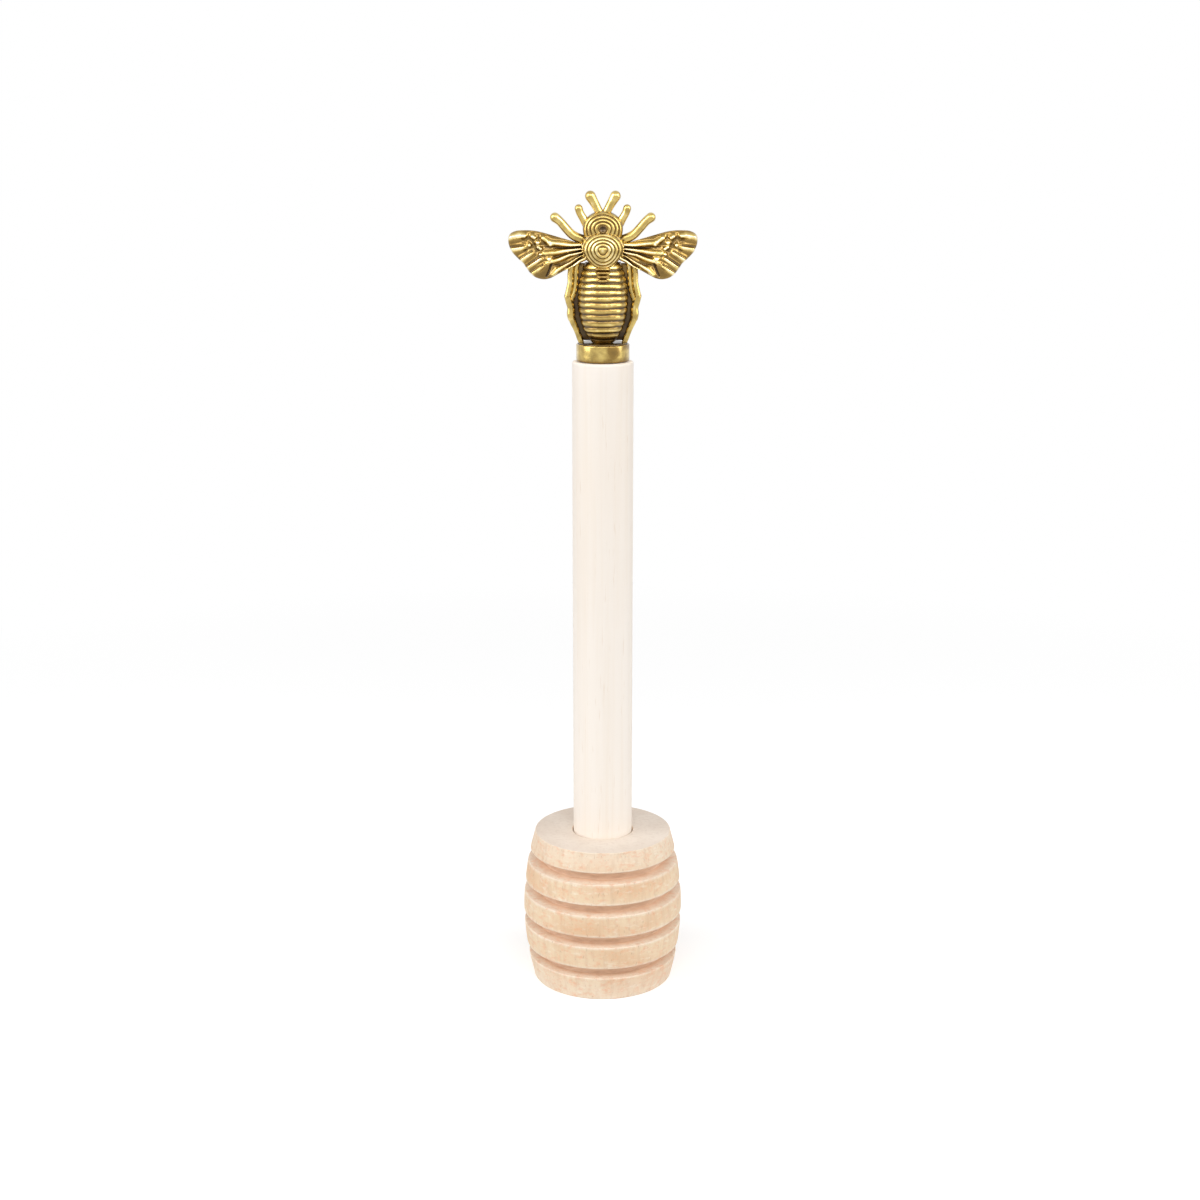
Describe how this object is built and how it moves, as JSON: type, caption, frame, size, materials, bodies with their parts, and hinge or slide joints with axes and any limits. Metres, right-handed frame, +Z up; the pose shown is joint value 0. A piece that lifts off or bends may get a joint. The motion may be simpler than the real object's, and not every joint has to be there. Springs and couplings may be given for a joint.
{
  "type": "honey dipper",
  "caption": "Turned wooden honey dipper with a grooved barrel head, a round handle and a cast metal bee as its finial, for lifting and drizzling honey.",
  "frame": {"origin": "middle of the head's flat standing face, on the handle's axis", "axes": "+Z up along the handle from the head to the bee, -Y the way the bee's front looks, +X to the right of someone who looks at the bee's front"},
  "size_m": [0.0364, 0.0328, 0.161],
  "materials": {
    "head_wood": "bare beech, turned and sanded, unfinished",
    "handle_wood": "bare pale beech dowel, sanded smooth",
    "collar_metal": "antique gold plating, brushed and mottled",
    "bee_metal": "antique gold plating with dark patina in the recesses",
    "stud_metal": "zinc-plated steel"
  },
  "bodies": {
    "root": {"dipper_head": "head_wood", "handle_dowel": "handle_wood", "bee_collar": "collar_metal", "bee_casting": "bee_metal", "threaded_stud": "stud_metal"}
  },
  "joints": []
}
